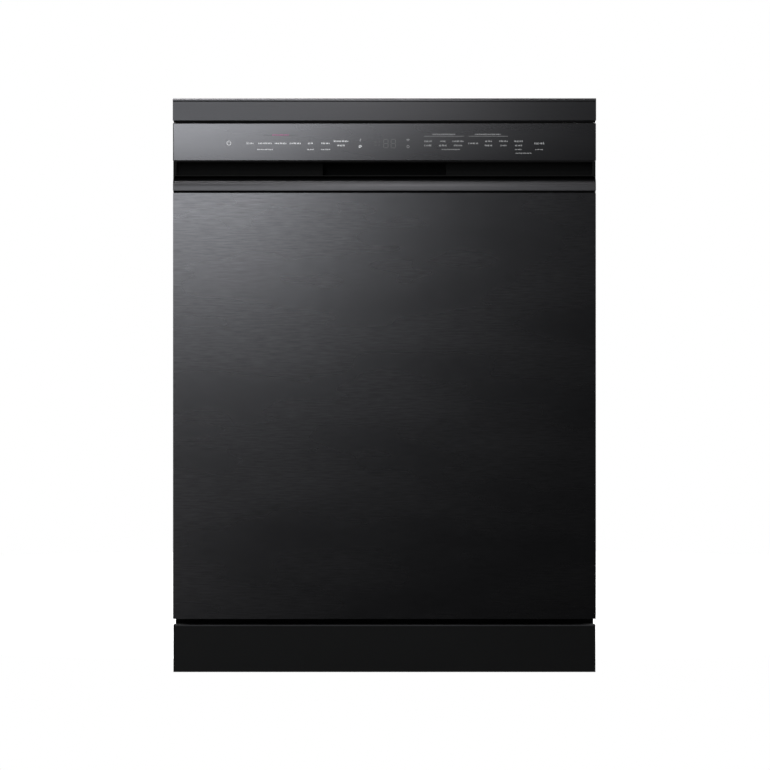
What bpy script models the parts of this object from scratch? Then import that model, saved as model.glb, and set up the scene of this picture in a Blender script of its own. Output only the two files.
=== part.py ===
"""Built in dishwasher, 60 cm class: cabinet, tub, door, racks and wash parts. Metres, +Z up, front at -Y."""

import math

import bpy
import bmesh
from mathutils import Matrix

# Overall size, with the feet on z = 0.
WIDTH = 0.598
FRONT_Y = -0.300
BACK_Y = 0.300
HEIGHT = 0.815
SHEET = 0.0012
PANEL_SHEET = 0.0025
GAP = 0.0004
SIDES = (("left", -1), ("right", 1))

# Heights of the bands of the front.
KICK_BOTTOM, KICK_TOP = 0.004, 0.0709
DOOR_BOTTOM, DOOR_TOP = 0.0792, 0.681
TRIM_BOTTOM, TRIM_TOP = 0.6845, 0.7045
PANEL_BOTTOM, PANEL_TOP = 0.7262, 0.780
COVER_BOTTOM = 0.7835
COVER_EDGE_RADIUS, COVER_SHEET = 0.0035, 0.0015
TRIM_LIP = 0.0025

# Half widths of the nested shells.
HALF = WIDTH / 2
DOOR_HALF = 0.29875
KICK_HALF = 0.29825
CABINET_HALF = 0.2955
LINER_HALF = 0.2930
TUB_HALF = 0.270
LEDGE_HALF = 0.245

# Depths.
DOOR_FACE_Y = -0.298
DOOR_RETURN_Y = -0.262
PANEL_FACE_Y, PANEL_RETURN_Y = -0.2985, -0.2715
TRIM_FACE_Y, TRIM_BACK_Y = -0.2998, -0.2842
LINER_Y = -0.245
FLANGE_Y = -0.2395
TUB_BACK_Y = 0.265
SIDE_BACK_Y = 0.2982
BASE_Z = (0.024, 0.094)

# Levelling feet, water inlet and base parts.
FOOT_X, FOOT_STEM, FOOT_PAD = 0.250, 0.006, 0.019
FOOT_YS = {"front": -0.200, "rear": 0.262}
INLET_X, INLET_Z = -0.220, 0.060

# Door hinge.
HINGE_Y, HINGE_Z = -0.282, 0.096
PIN_RADIUS = 0.003

# Tub and what stands in it.
TUB_FLOOR, LEDGE_Z, TUB_CEILING = 0.110, 0.133, 0.760
SUMP_RADIUS = 0.105
FILTER_X, FILTER_RADIUS = 0.058, 0.034
SALT_X, SALT_Y, SALT_RADIUS = -0.165, -0.02, 0.033
LOWER_ARM_Z, UPPER_ARM_Z, TOP_ARM_Z = 0.134, 0.430, 0.740

# The pieces that turn with the door.
DOOR_PIECES = (
    "door_outer_panel",
    "door_inner_panel",
    "control_panel",
    "display_board",
    "handle_trim",
    "handle_pocket",
    "dispenser_body",
    "hinge_arm_left",
    "hinge_arm_right",
    "detergent_lid",
    "rinse_aid_cap",
    "door_latch",
)

# Handle recess in the middle of the handle channel.
RECESS_HALF = 0.0875
RECESS_BACK_Y = -0.2530

# Dispenser on the door's inner side, with the lid on the left and the cap on the right of it.
DISPENSER_X, DISPENSER_Z = (-0.105, 0.095), (0.300, 0.490)
DISPENSER_FACE_Y = -0.2330
LID_X, CAP_X, LID_Z = -0.050, 0.045, 0.431
CAP_RADIUS = 0.024

# Racks.
RACK_HALF, RACK_FRONT, RACK_BACK = 0.238, -0.222, 0.226
WIRE, RIM_WIRE, TINE_WIRE = 0.0024, 0.0032, 0.0018
END_GAP = 0.0042
CROSS_YS = (-0.165, -0.085, 0.0, 0.085, 0.165)
ALONG_XS = (-0.180, -0.090, 0.0, 0.090, 0.180)
END_XS = (-0.225, -0.150, -0.075, 0.0, 0.075, 0.150, 0.225)
LOWER_FLOOR, LOWER_RIM = 0.156, 0.330
UPPER_FLOOR, UPPER_RIM = 0.458, 0.600
TRAY_FLOOR, TRAY_RIM = 0.682, 0.724
WHEEL_RADIUS, WHEEL_GAP = 0.0175, 0.0009
WHEEL_X, WHEEL_WIDTH = 0.256, 0.012
WHEEL_YS = {"front": -0.165, "rear": 0.165}
RAIL_Z, TRAY_RAIL_Z = 0.520, 0.704
RAIL_Y = (-0.222, 0.232)
TINE_X, TINE_Z, TINE_LENGTH = 0.110, LOWER_FLOOR + 0.0075, 0.085
TINE_PITCH, TINES_EACH_WAY = 0.040, 4
SHELF_X, SHELF_Z, SHELF_WIDTH = 0.226, 0.560, 0.105

for old in list(bpy.data.objects):
    bpy.data.objects.remove(old, do_unlink=True)

scene = bpy.context.scene
parts = bpy.data.collections.new("built_in_dishwasher")
scene.collection.children.link(parts)
tools = bpy.data.collections.new("cutters")
scene.collection.children.link(tools)

MATERIALS = {
    "black_steel": ((0.06, 0.062, 0.066, 1), 0.38, 1.0),
    "black_paint": ((0.012, 0.012, 0.013, 1), 0.45, 0.0),
    "stainless": ((0.62, 0.62, 0.61, 1), 0.28, 1.0),
    "zinc": ((0.50, 0.51, 0.52, 1), 0.42, 1.0),
    "grey_plastic": ((0.20, 0.21, 0.22, 1), 0.50, 0.0),
    "light_plastic": ((0.55, 0.56, 0.57, 1), 0.48, 0.0),
    "dark_plastic": ((0.02, 0.02, 0.022, 1), 0.50, 0.0),
    "rubber": ((0.03, 0.03, 0.03, 1), 0.80, 0.0),
}


def material(name):
    """The shared material of this name."""
    found = bpy.data.materials.get(name)
    if found:
        return found
    colour, roughness, metallic = MATERIALS[name]
    made = bpy.data.materials.new(name)
    made.use_nodes = True
    shader = made.node_tree.nodes["Principled BSDF"]
    shader.inputs["Base Color"].default_value = colour
    shader.inputs["Roughness"].default_value = roughness
    shader.inputs["Metallic"].default_value = metallic
    made.diffuse_color = colour
    return made


def as_object(name, mesh, keep):
    """A new object of this mesh, in the parts or among the cutters."""
    obj = bpy.data.objects.new(name, mesh)
    (parts if keep else tools).objects.link(obj)
    if not keep:
        obj.hide_render = True
        obj.display_type = "WIRE"
    return obj


def box_mesh(mesh, low, high):
    """Adds a box between two corners to a bmesh."""
    made = bmesh.ops.create_cube(mesh, size=1.0)["verts"]
    size = [b - a for a, b in zip(low, high)]
    middle = [(a + b) / 2 for a, b in zip(low, high)]
    bmesh.ops.scale(mesh, vec=size, verts=made)
    bmesh.ops.translate(mesh, vec=middle, verts=made)


def box(low, high):
    """A helper box between two corners."""
    mesh = bmesh.new()
    box_mesh(mesh, low, high)
    data = bpy.data.meshes.new("box")
    mesh.to_mesh(data)
    mesh.free()
    return as_object("box", data, False)


def slab(x, y, z):
    """A helper box from three (low, high) pairs."""
    return box((x[0], y[0], z[0]), (x[1], y[1], z[1]))


def cylinder(centre, radius, length, axis="Z", sides=24):
    """A helper cylinder centred on a point, along X, Y or Z."""
    mesh = bmesh.new()
    bmesh.ops.create_cone(
        mesh, cap_ends=True, segments=sides, radius1=radius, radius2=radius, depth=length
    )
    if axis != "Z":
        turn = Matrix.Rotation(math.radians(90), 3, "Y" if axis == "X" else "X")
        bmesh.ops.rotate(mesh, cent=(0, 0, 0), matrix=turn, verts=mesh.verts)
    bmesh.ops.translate(mesh, vec=centre, verts=mesh.verts)
    data = bpy.data.meshes.new("cylinder")
    mesh.to_mesh(data)
    mesh.free()
    return as_object("cylinder", data, False)


def upright(x, y, radius, low, high, sides=24):
    """A helper cylinder standing between two heights."""
    return cylinder((x, y, (low + high) / 2), radius, high - low, "Z", sides)


def prism(outline, axis, low, high):
    """A helper prism: an outline of (x, z), (y, z) or (x, y) pairs, drawn along Y, X or Z."""
    place = {
        "X": lambda a, b, d: (d, a, b),
        "Y": lambda a, b, d: (a, d, b),
        "Z": lambda a, b, d: (a, b, d),
    }[axis]
    mesh = bmesh.new()
    corners = [mesh.verts.new(place(a, b, low)) for a, b in outline]
    face = mesh.faces.new(corners)
    pushed = bmesh.ops.extrude_face_region(mesh, geom=[face])["geom"]
    moved = [v for v in pushed if isinstance(v, bmesh.types.BMVert)]
    bmesh.ops.translate(mesh, vec=place(0, 0, high - low), verts=moved)
    bmesh.ops.recalc_face_normals(mesh, faces=mesh.faces)
    data = bpy.data.meshes.new("prism")
    mesh.to_mesh(data)
    mesh.free()
    return as_object("prism", data, False)


def wires(routes, radius, closed=False):
    """A helper mesh of square wires, one along each route, none of which may cross another."""
    curve = bpy.data.curves.new("wires", "CURVE")
    curve.dimensions = "3D"
    curve.bevel_depth = radius
    curve.bevel_resolution = 0
    curve.use_fill_caps = not closed
    for route in routes:
        spline = curve.splines.new("POLY")
        spline.points.add(len(route) - 1)
        spline.use_cyclic_u = closed
        for point, place in zip(spline.points, route):
            point.co = (*place, 1)
    drawn = bpy.data.objects.new("wires", curve)
    data = bpy.data.meshes.new_from_object(drawn)
    mesh = bmesh.new()
    mesh.from_mesh(data)
    bmesh.ops.remove_doubles(mesh, verts=mesh.verts, dist=1e-6)
    bmesh.ops.recalc_face_normals(mesh, faces=mesh.faces)
    mesh.to_mesh(data)
    mesh.free()
    bpy.data.objects.remove(drawn)
    return as_object("wires", data, False)


def solid(name, look, base, add=(), cut=(), origin=None, bevel=0.0):
    """Makes a helper into a part: the other helpers are joined to it or cut from it."""
    obj = bpy.data.objects.new(name, base.data.copy())
    parts.objects.link(obj)
    bpy.data.objects.remove(base)
    obj.data.materials.clear()
    obj.data.materials.append(material(look))
    if origin:
        obj.data.transform(Matrix.Translation([-c for c in origin]))
        obj.location = origin
    if bevel:
        edges = obj.modifiers.new("rounded", "BEVEL")
        edges.width = bevel
        edges.segments = 2
        edges.limit_method = "ANGLE"
    for others, operation in ((add, "UNION"), (cut, "DIFFERENCE")):
        if others:
            combine(obj, others, operation)
    return obj


def combine(obj, others, operation):
    """Joins or cuts all these helpers in one Boolean."""
    group = bpy.data.collections.new(f"{obj.name} {operation.lower()}")
    tools.children.link(group)
    for other in others:
        tools.objects.unlink(other)
        group.objects.link(other)
    boolean = obj.modifiers.new(operation.lower(), "BOOLEAN")
    boolean.operation = operation
    boolean.solver = "EXACT"
    boolean.operand_type = "COLLECTION"
    boolean.collection = group


def tray(x, y, z, open_side, wall=SHEET):
    """(box, cutter) of a five sided shell. The open side is +X, -X, +Y, -Y, +Z or -Z."""
    sides = {"X": list(x), "Y": list(y), "Z": list(z)}
    inner = {axis: [span[0] + wall, span[1] - wall] for axis, span in sides.items()}
    end = 1 if open_side[0] == "+" else 0
    inner[open_side[1]][end] += wall * (4 if end else -4)
    return slab(x, y, z), slab(inner["X"], inner["Y"], inner["Z"])


def both(span, side):
    """A span of distances from the middle, on the side that side (-1 or +1) names."""
    return tuple(sorted(side * value for value in span))


def arc_points(y, z, depth, height, steps=6):
    """(y, z) pairs of a quarter round about (y, z): from straight in front of it to straight above."""
    out = []
    for step in range(steps + 1):
        angle = math.pi / 2 * step / steps
        out.append((y - depth * math.cos(angle), z + height * math.sin(angle)))
    return out


def make_cabinet():
    """The cover, the sides, the back, the base tray and the kickplate."""
    radius = COVER_EDGE_RADIUS
    rounded_front = arc_points(FRONT_Y + radius, HEIGHT - radius, radius, radius)
    profile = [(FRONT_Y, COVER_BOTTOM), *rounded_front, (BACK_Y, HEIGHT), (BACK_Y, COVER_BOTTOM)]
    under = slab(
        (-HALF + COVER_SHEET, HALF - COVER_SHEET),
        (FRONT_Y + COVER_SHEET, BACK_Y - COVER_SHEET),
        (COVER_BOTTOM - 0.01, HEIGHT - radius),
    )
    solid("top_cover", "black_steel", prism(profile, "X", -HALF, HALF), cut=[under])
    for side, sign in SIDES:
        sheet = slab(
            both((CABINET_HALF - SHEET, CABINET_HALF), sign),
            (FLANGE_Y, SIDE_BACK_Y),
            (BASE_Z[1] + 0.0005, COVER_BOTTOM - GAP),
        )
        back_flange = slab(
            both((0.275, CABINET_HALF - SHEET / 2), sign),
            (SIDE_BACK_Y - SHEET, SIDE_BACK_Y),
            (BASE_Z[1] + 0.0005, COVER_BOTTOM - GAP),
        )
        solid(f"side_panel_{side}", "black_paint", sheet, add=[back_flange])
    solid(
        "rear_panel",
        "zinc",
        slab(
            (-0.2938, 0.2938),
            (SIDE_BACK_Y + GAP, SIDE_BACK_Y + GAP + SHEET),
            (BASE_Z[1] + 0.0005, COVER_BOTTOM - GAP),
        ),
    )
    shell, hollow = tray(
        (-CABINET_HALF, CABINET_HALF), (-0.235, 0.298), BASE_Z, "+Z", PANEL_SHEET
    )
    cuts = [
        hollow,
        slab((-0.2925, 0.2925), (-0.240, -0.230), (0.0785, 0.100)),
        cylinder((INLET_X, 0.296, INLET_Z), 0.0145, 0.02, "Y", 16),
    ]
    for x in (-FOOT_X, FOOT_X):
        for y in FOOT_YS.values():
            cuts.append(upright(x, y, FOOT_STEM + 0.0005, 0.020, 0.030, 16))
    solid("base_tray", "dark_plastic", shell, cut=cuts)
    shell, hollow = tray(
        (-KICK_HALF, KICK_HALF), (-0.2965, -0.2785), (KICK_BOTTOM, KICK_TOP), "+Y"
    )
    tabs = [
        slab(both((0.200, 0.220), sign), (-0.2957, -0.2354), (0.030, 0.032))
        for _, sign in SIDES
    ]
    # The tabs are joined after the hollow is cut.
    combine(solid("kickplate", "black_paint", shell, cut=[hollow]), tabs, "UNION")


def make_feet():
    """Four levelling feet on threaded stems."""
    for place, y in FOOT_YS.items():
        for side, sign in SIDES:
            x = sign * FOOT_X
            pad = upright(x, y, FOOT_PAD, 0.0, 0.009, 20)
            stem = upright(x, y, FOOT_STEM, 0.006, 0.088, 16)
            solid(f"foot_{place}_{side}", "dark_plastic", pad, add=[stem], origin=(x, y, 0.0))


def tub_outline(grow):
    """The section of the tub across its width, with a ledge at each side for the wheels."""
    half, ledge = TUB_HALF + grow, LEDGE_HALF + grow
    right = [
        (ledge, TUB_FLOOR - grow),
        (ledge, LEDGE_Z - grow),
        (half, LEDGE_Z - grow),
        (half, TUB_CEILING + grow),
    ]
    return right + [(-x, z) for x, z in reversed(right)]


def make_tub():
    """The stainless tub with its front flange, gasket and rails."""
    outer = prism(tub_outline(SHEET), "Y", FLANGE_Y, TUB_BACK_Y + SHEET)
    inner = prism(tub_outline(0), "Y", FLANGE_Y - 0.02, TUB_BACK_Y)
    solid(
        "tub",
        "stainless",
        outer,
        cut=[
            inner,
            upright(0, 0, SUMP_RADIUS + 0.0006, 0.10, 0.12, 32),
            upright(SALT_X, SALT_Y, 0.0306, 0.10, 0.12, 24),
        ],
    )
    flange = slab((-LINER_HALF, LINER_HALF), (FLANGE_Y, FLANGE_Y + SHEET), (0.0985, 0.7780))
    mouth = prism(tub_outline(SHEET + GAP), "Y", FLANGE_Y - 0.02, FLANGE_Y + 0.02)
    solid("tub_front_frame", "stainless", flange, cut=[mouth])
    ring = slab((-0.277, 0.277), (-0.2447, FLANGE_Y - GAP), (0.1000, 0.7655))
    opening = slab((-0.2725, 0.2725), (-0.26, -0.23), (0.1045, 0.7615))
    solid("tub_gasket", "rubber", ring, cut=[opening])
    for side, sign in SIDES:
        rail = slab(
            both((0.2530, TUB_HALF - GAP), sign),
            RAIL_Y,
            (RAIL_Z - 0.011, RAIL_Z + 0.011),
        )
        channel = slab(
            both((0.2500, 0.2672), sign), (-0.24, 0.25), (RAIL_Z - 0.008, RAIL_Z + 0.008)
        )
        solid(f"rack_rail_{side}", "stainless", rail, cut=[channel])
        rail = slab(
            both((0.2560, TUB_HALF - GAP), sign),
            RAIL_Y,
            (TRAY_RAIL_Z - 0.006, TRAY_RAIL_Z + 0.010),
        )
        above = slab(
            both((0.2500, 0.2675), sign), (-0.24, 0.25), (TRAY_RAIL_Z - 0.0035, 0.73)
        )
        solid(f"tray_rail_{side}", "light_plastic", rail, cut=[above])
    strike = slab((-0.012, 0.012), (-0.258, FLANGE_Y - GAP), (0.7665, 0.7745))
    eye = slab((-0.006, 0.006), (-0.254, -0.247), (0.76, 0.78))
    solid("latch_strike", "zinc", strike, cut=[eye])


def arm_outline(length, width):
    """The plan of a spray arm: wide at the hub, tapering to blunt ends."""
    right = [(0.03, -width / 2), (length, -width / 3), (length, width / 3), (0.03, width / 2)]
    return right + [(-x, -y) for x, y in right]


def make_spray_arm(name, z, length, width, hub_radius, look):
    """One spray arm about the vertical axis through the middle of the tub."""
    blades = prism(arm_outline(length, width), "Z", z + 0.002, z + 0.010)
    hub = upright(0, 0, hub_radius, z - 0.0005, z + 0.0125, 24)
    solid(name, look, blades, add=[hub], origin=(0, 0, z))


def make_wash_parts():
    """The sump, the filters, the supply pipe and the spray arms."""
    bowl = upright(0, 0, SUMP_RADIUS, 0.050, 0.1114, 32)
    lip = upright(0, 0, SUMP_RADIUS + 0.011, TUB_FLOOR + GAP, 0.1124, 32)
    inside = upright(0, 0, SUMP_RADIUS - 0.0025, 0.0530, 0.13, 32)
    solid("sump", "dark_plastic", bowl, add=[lip], cut=[inside])
    plate = upright(0, 0, SUMP_RADIUS - 0.003, 0.1060, 0.1080, 32)
    stalk = upright(0, 0, 0.012, 0.1070, LOWER_ARM_Z - 0.0012, 20)
    hole = upright(FILTER_X, 0, FILTER_RADIUS + 0.0006, 0.10, 0.12, 24)
    solid("filter_plate", "stainless", plate, add=[stalk], cut=[hole])
    cup = upright(FILTER_X, 0, FILTER_RADIUS, 0.062, 0.118, 24)
    inside = upright(FILTER_X, 0, FILTER_RADIUS - 0.003, 0.065, 0.13, 24)
    grip = slab((FILTER_X - 0.032, FILTER_X + 0.032), (-0.003, 0.003), (0.112, 0.124))
    strainer = solid(
        "coarse_filter", "grey_plastic", cup, cut=[inside], origin=(FILTER_X, 0, 0.062)
    )
    combine(strainer, [grip], "UNION")
    cap = upright(SALT_X, SALT_Y, SALT_RADIUS, TUB_FLOOR + GAP, 0.121, 24)
    wing = slab(
        (SALT_X - 0.025, SALT_X + 0.025), (SALT_Y - 0.004, SALT_Y + 0.004), (0.120, 0.127)
    )
    solid("salt_cap", "light_plastic", cap, add=[wing], origin=(SALT_X, SALT_Y, TUB_FLOOR))
    riser = slab((-0.014, 0.014), (0.244, 0.262), (0.1130, 0.7590))
    solid(
        "spray_supply_pipe",
        "light_plastic",
        riser,
        add=[
            slab((-0.012, 0.012), (0.088, 0.250), (0.1132, 0.1230)),
            slab((-0.012, 0.012), (-0.012, 0.250), (0.7512, 0.7588)),
            slab((-0.010, 0.010), (0.2302, 0.250), (0.4430, 0.4550)),
        ],
    )
    make_spray_arm("lower_spray_arm", LOWER_ARM_Z, 0.232, 0.040, 0.026, "stainless")
    make_spray_arm("upper_spray_arm", UPPER_ARM_Z, 0.222, 0.036, 0.022, "grey_plastic")
    make_spray_arm("top_spray_arm", TOP_ARM_Z - 0.002, 0.120, 0.030, 0.016, "grey_plastic")


def make_base_parts():
    """What the base tray and the sides hold: pumps, softener, valve and air break."""
    pump = cylinder((0.030, 0.165, 0.068), 0.034, 0.130, "X", 24)
    spigot = cylinder((-0.020, 0.124, 0.068), 0.014, 0.030, "Y", 16)
    solid("circulation_pump", "grey_plastic", pump, add=[spigot])
    pump = cylinder((0.150, -0.125, 0.060), 0.024, 0.080, "Y", 20)
    head = slab((0.132, 0.168), (-0.100, -0.080), (0.040, 0.080))
    solid("drain_pump", "grey_plastic", pump, add=[head])
    softener = slab((-0.235, -0.125), (-0.100, 0.060), (0.032, 0.105))
    neck = upright(SALT_X, SALT_Y, 0.030, 0.100, TUB_FLOOR, 24)
    solid("water_softener", "light_plastic", softener, add=[neck], bevel=0.004)
    valve = slab((INLET_X - 0.020, INLET_X + 0.020), (0.255, 0.2920), (0.040, 0.080))
    spigot = cylinder((INLET_X, 0.2950, INLET_Z), 0.0135, 0.0096, "Y", 16)
    solid("inlet_valve", "light_plastic", valve, add=[spigot])
    chamber = slab((-0.2925, -0.2730), (-0.080, 0.120), (0.250, 0.600))
    solid("air_break_chamber", "light_plastic", chamber, bevel=0.003)


def make_hinges():
    """The pivot brackets on the base and the hinge arms on the door."""
    for side, sign in SIDES:
        nose = cylinder((sign * 0.28675, HINGE_Y, HINGE_Z), 0.009, 0.0025, "X", 20)
        plate = slab(both((0.2855, 0.2880), sign), (HINGE_Y, -0.170), (0.0840, 0.0955))
        foot = slab(both((0.2858, 0.2926), sign), (-0.228, -0.170), (0.050, 0.090))
        pin = cylinder((sign * 0.2829, HINGE_Y, HINGE_Z), PIN_RADIUS, 0.0082, "X", 16)
        solid(f"hinge_bracket_{side}", "zinc", nose, add=[plate, foot, pin])
        arm = slab(both((0.2800, 0.2830), sign), (-0.2890, -0.2750), (0.0880, 0.3000))
        hole = cylinder((sign * 0.2815, HINGE_Y, HINGE_Z), PIN_RADIUS + GAP, 0.01, "X", 16)
        solid(f"hinge_arm_{side}", "zinc", arm, cut=[hole])


def make_door():
    """The outer panel, the liner, the control panel, the handle and what they carry."""
    shell, hollow = tray(
        (-DOOR_HALF, DOOR_HALF),
        (DOOR_FACE_Y, DOOR_RETURN_Y),
        (DOOR_BOTTOM, DOOR_TOP),
        "+Y",
    )
    notches = [
        slab(both((0.276, 0.2973), sign), (-0.2965, -0.25), (0.070, 0.085))
        for _, sign in SIDES
    ]
    room_for_liner = slab((-0.2974, 0.2974), (-0.2708, -0.25), (0.07, 0.70))
    solid("door_outer_panel", "black_steel", shell, cut=[hollow, room_for_liner, *notches])

    shell, hollow = tray(
        (-LINER_HALF, LINER_HALF), (-0.270, LINER_Y), (0.0970, 0.7795), "-Y"
    )
    cuts = [hollow]
    for _, sign in SIDES:
        cuts.append(slab(both((0.2780, 0.3000), sign), (-0.28, -0.24), (0.09, 0.116)))
    cuts.append(slab((-0.103, 0.093), (-0.26, -0.24), (0.302, 0.488)))
    cuts.append(slab((-0.016, 0.016), (-0.26, -0.24), (0.7655, 0.7755)))
    solid("door_inner_panel", "stainless", shell, cut=cuts)

    shell, hollow = tray(
        (-HALF, HALF), (PANEL_FACE_Y, PANEL_RETURN_Y), (PANEL_BOTTOM, PANEL_TOP), "+Y", PANEL_SHEET
    )
    solid("control_panel", "black_steel", shell, cut=[hollow], bevel=0.0012)
    solid(
        "display_board",
        "dark_plastic",
        slab((-0.240, 0.240), (-0.2952, -0.2930), (0.736, 0.772)),
    )

    start_z = TRIM_BOTTOM + TRIM_LIP
    roll = arc_points(TRIM_BACK_Y - GAP, start_z, TRIM_BACK_Y - GAP - TRIM_FACE_Y, TRIM_TOP - start_z, 8)
    lip = [(TRIM_FACE_Y, TRIM_BOTTOM), *roll, (TRIM_BACK_Y, TRIM_TOP), (TRIM_BACK_Y, TRIM_BOTTOM)]
    solid("handle_trim", "black_steel", prism(lip, "X", -0.2988, 0.2988))

    shelf, top, wall = TRIM_TOP + GAP, PANEL_BOTTOM - GAP, 0.001
    upper = slab((-0.2975, 0.2975), (PANEL_FACE_Y, -0.2775), (shelf, top))
    lower = slab((-0.2975, 0.2975), (TRIM_BACK_Y + GAP, -0.2775), (TRIM_BOTTOM + GAP, shelf + wall))
    housing = slab(
        (-RECESS_HALF - 0.003, RECESS_HALF + 0.003), (-0.279, -0.2500), (0.6852, top)
    )
    solid(
        "handle_pocket",
        "dark_plastic",
        upper,
        add=[lower, housing],
        cut=[
            slab((-0.2940, 0.2940), (-0.31, -0.2792), (shelf + wall, top - wall)),
            slab((-RECESS_HALF, RECESS_HALF), (-0.2818, RECESS_BACK_Y), (0.6880, top - wall)),
        ],
    )

    body = slab(DISPENSER_X, (LINER_Y + 0.0003, DISPENSER_FACE_Y), DISPENSER_Z)
    recessed = slab((-0.1020, 0.0920), (-0.2700, -0.2400), (0.303, 0.487))
    cup = slab((-0.095, -0.005), (-0.266, -0.22), (0.388, 0.474))
    solid("dispenser_body", "grey_plastic", body, add=[recessed], cut=[cup])
    face = DISPENSER_FACE_Y + GAP
    lid = slab((LID_X - 0.048, LID_X + 0.048), (face, face + 0.0024), (LID_Z - 0.047, LID_Z + 0.047))
    ridge = slab((LID_X - 0.020, LID_X + 0.020), (face + 0.0016, face + 0.0041), (0.392, 0.397))
    solid("detergent_lid", "light_plastic", lid, add=[ridge], origin=(LID_X, face, LID_Z))
    cap = cylinder((CAP_X, face + 0.0015, 0.430), CAP_RADIUS, 0.0030, "Y", 24)
    wing = slab((CAP_X - 0.018, CAP_X + 0.018), (face + 0.0026, face + 0.0054), (0.427, 0.433))
    solid("rinse_aid_cap", "light_plastic", cap, add=[wing], origin=(CAP_X, face, 0.430))
    latch = slab((-0.008, 0.008), (-0.2560, -0.2480), (0.7440, 0.7655))
    solid("door_latch", "zinc", latch, origin=(0, -0.252, 0.744))
    hang_on_hinge()


def hang_on_hinge():
    """Parents the door's pieces to an empty on the hinge axis, without moving them."""
    axis = bpy.data.objects.new("door_hinge_axis", None)
    parts.objects.link(axis)
    axis.location = (0, HINGE_Y, HINGE_Z)
    for name in DOOR_PIECES:
        piece = bpy.data.objects[name]
        piece.parent = axis
        piece.matrix_parent_inverse = Matrix.Translation((0, -HINGE_Y, -HINGE_Z))


def end_panel(name, y, floor, rim):
    """The wire panel at the front or the back of a basket."""
    uprights = wires([[(x, y, floor), (x, y, rim)] for x in END_XS], WIRE)
    rails = [
        wires([[(-RACK_HALF, y, z), (RACK_HALF, y, z)]], radius)
        for z, radius in ((floor, WIRE), (middle_of(floor, rim), WIRE), (rim, RIM_WIRE))
    ]
    solid(name, "grey_plastic", uprights, add=rails)


def middle_of(floor, rim):
    return floor + 0.45 * (rim - floor)


def make_basket(name, floor, rim, extras):
    """A wire basket: a trough of bent wires with rails along it, closed by a panel at each end."""
    across = wires(
        [
            [(-RACK_HALF, y, rim), (-RACK_HALF, y, floor), (RACK_HALF, y, floor), (RACK_HALF, y, rim)]
            for y in CROSS_YS
        ],
        WIRE,
    )
    low, high = RACK_FRONT + END_GAP, RACK_BACK - END_GAP
    sunk = floor - 0.0018
    along = wires([[(x, low, sunk), (x, high, sunk)] for x in ALONG_XS], WIRE)
    rails = wires(
        [
            [(x, low, z), (x, high, z)]
            for x in (-RACK_HALF, RACK_HALF)
            for z in (middle_of(floor, rim), rim)
        ],
        RIM_WIRE,
    )
    solid(name, "grey_plastic", across, add=[along, rails, *extras])
    end_panel(f"{name}_front", RACK_FRONT, floor, rim)
    end_panel(f"{name}_back", RACK_BACK, floor, rim)


def make_lower_rack():
    """The lower rack on its wheels, with two rows of folding tines."""
    axle_z = LEDGE_Z + WHEEL_RADIUS + WHEEL_GAP
    stubs = [
        slab(both((0.2350, 0.2492), sign), (y - 0.005, y + 0.005), (axle_z - 0.005, axle_z + 0.006))
        for y in WHEEL_YS.values()
        for _, sign in SIDES
    ]
    make_basket("lower_rack", LOWER_FLOOR, LOWER_RIM, stubs)
    for place, y in WHEEL_YS.items():
        for side, sign in SIDES:
            centre = (sign * WHEEL_X, y, axle_z)
            wheel = cylinder(centre, WHEEL_RADIUS, WHEEL_WIDTH, "X", 24)
            solid(f"rack_wheel_{place}_{side}", "light_plastic", wheel, origin=centre)
    for side, sign in SIDES:
        x = sign * TINE_X
        rod = wires([[(x, -0.190, TINE_Z), (x, 0.190, TINE_Z)]], 0.0022)
        tines = wires(
            [
                [(x, step * TINE_PITCH, TINE_Z), (x, step * TINE_PITCH, TINE_Z + TINE_LENGTH)]
                for step in range(-TINES_EACH_WAY, TINES_EACH_WAY + 1)
            ],
            TINE_WIRE,
        )
        solid(f"tine_row_{side}", "grey_plastic", rod, add=[tines], origin=(x, 0, TINE_Z))


def make_upper_rack():
    """The upper rack with its runners, its feed tube and two cup shelves."""
    extras = [
        slab((-0.0085, 0.0083), (-0.0113, 0.2190), (0.4450, 0.4574)),
        slab((-0.0075, 0.0075), (0.2150, 0.2297), (0.4458, 0.4520)),
        upright(0, 0, 0.013, UPPER_ARM_Z + 0.0130, 0.4509, 20),
    ]
    for _, sign in SIDES:
        extras.append(
            slab(both((0.2560, 0.2660), sign), (-0.212, 0.212), (RAIL_Z - 0.006, RAIL_Z + 0.006))
        )
        for y in (-0.165, 0.0, 0.165):
            bracket_z = (RAIL_Z - 0.0055, RAIL_Z - 0.0022)
            extras.append(slab(both((0.2343, 0.2575), sign), (y - 0.0064, y + 0.0064), bracket_z))
    make_basket("upper_rack", UPPER_FLOOR, UPPER_RIM, extras)
    for side, sign in SIDES:
        shelf = slab(
            both((SHELF_X - SHELF_WIDTH, SHELF_X + 0.003), sign),
            (-0.180, 0.180),
            (SHELF_Z - 0.0025, SHELF_Z + 0.0025),
        )
        windows = [
            slab(both((SHELF_X - 0.097, SHELF_X - 0.012), sign), (y, y + 0.080), (0.55, 0.57))
            for y in (-0.172, -0.084, 0.004, 0.092)
        ]
        pivot = (sign * SHELF_X, 0, SHELF_Z)
        solid(f"cup_shelf_{side}", "grey_plastic", shelf, cut=windows, origin=pivot)


def make_cutlery_tray():
    """The cutlery tray, with windows in its floor and edges that ride on its rails."""
    shell, hollow = tray(
        (-0.250, 0.250), (RACK_FRONT, RACK_BACK), (TRAY_FLOOR, TRAY_RIM), "+Z", PANEL_SHEET
    )
    edges = [
        slab(both((0.2485, 0.2655), sign), (-0.215, 0.219), (0.7012, 0.7052))
        for _, sign in SIDES
    ]
    windows = [
        slab((x, x + 0.105), (y, y + 0.125), (0.67, 0.69))
        for x in (-0.240, -0.120, 0.015, 0.135)
        for y in (-0.210, -0.065, 0.080)
    ]
    solid("cutlery_tray", "grey_plastic", shell, add=edges, cut=[hollow, *windows])


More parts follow.
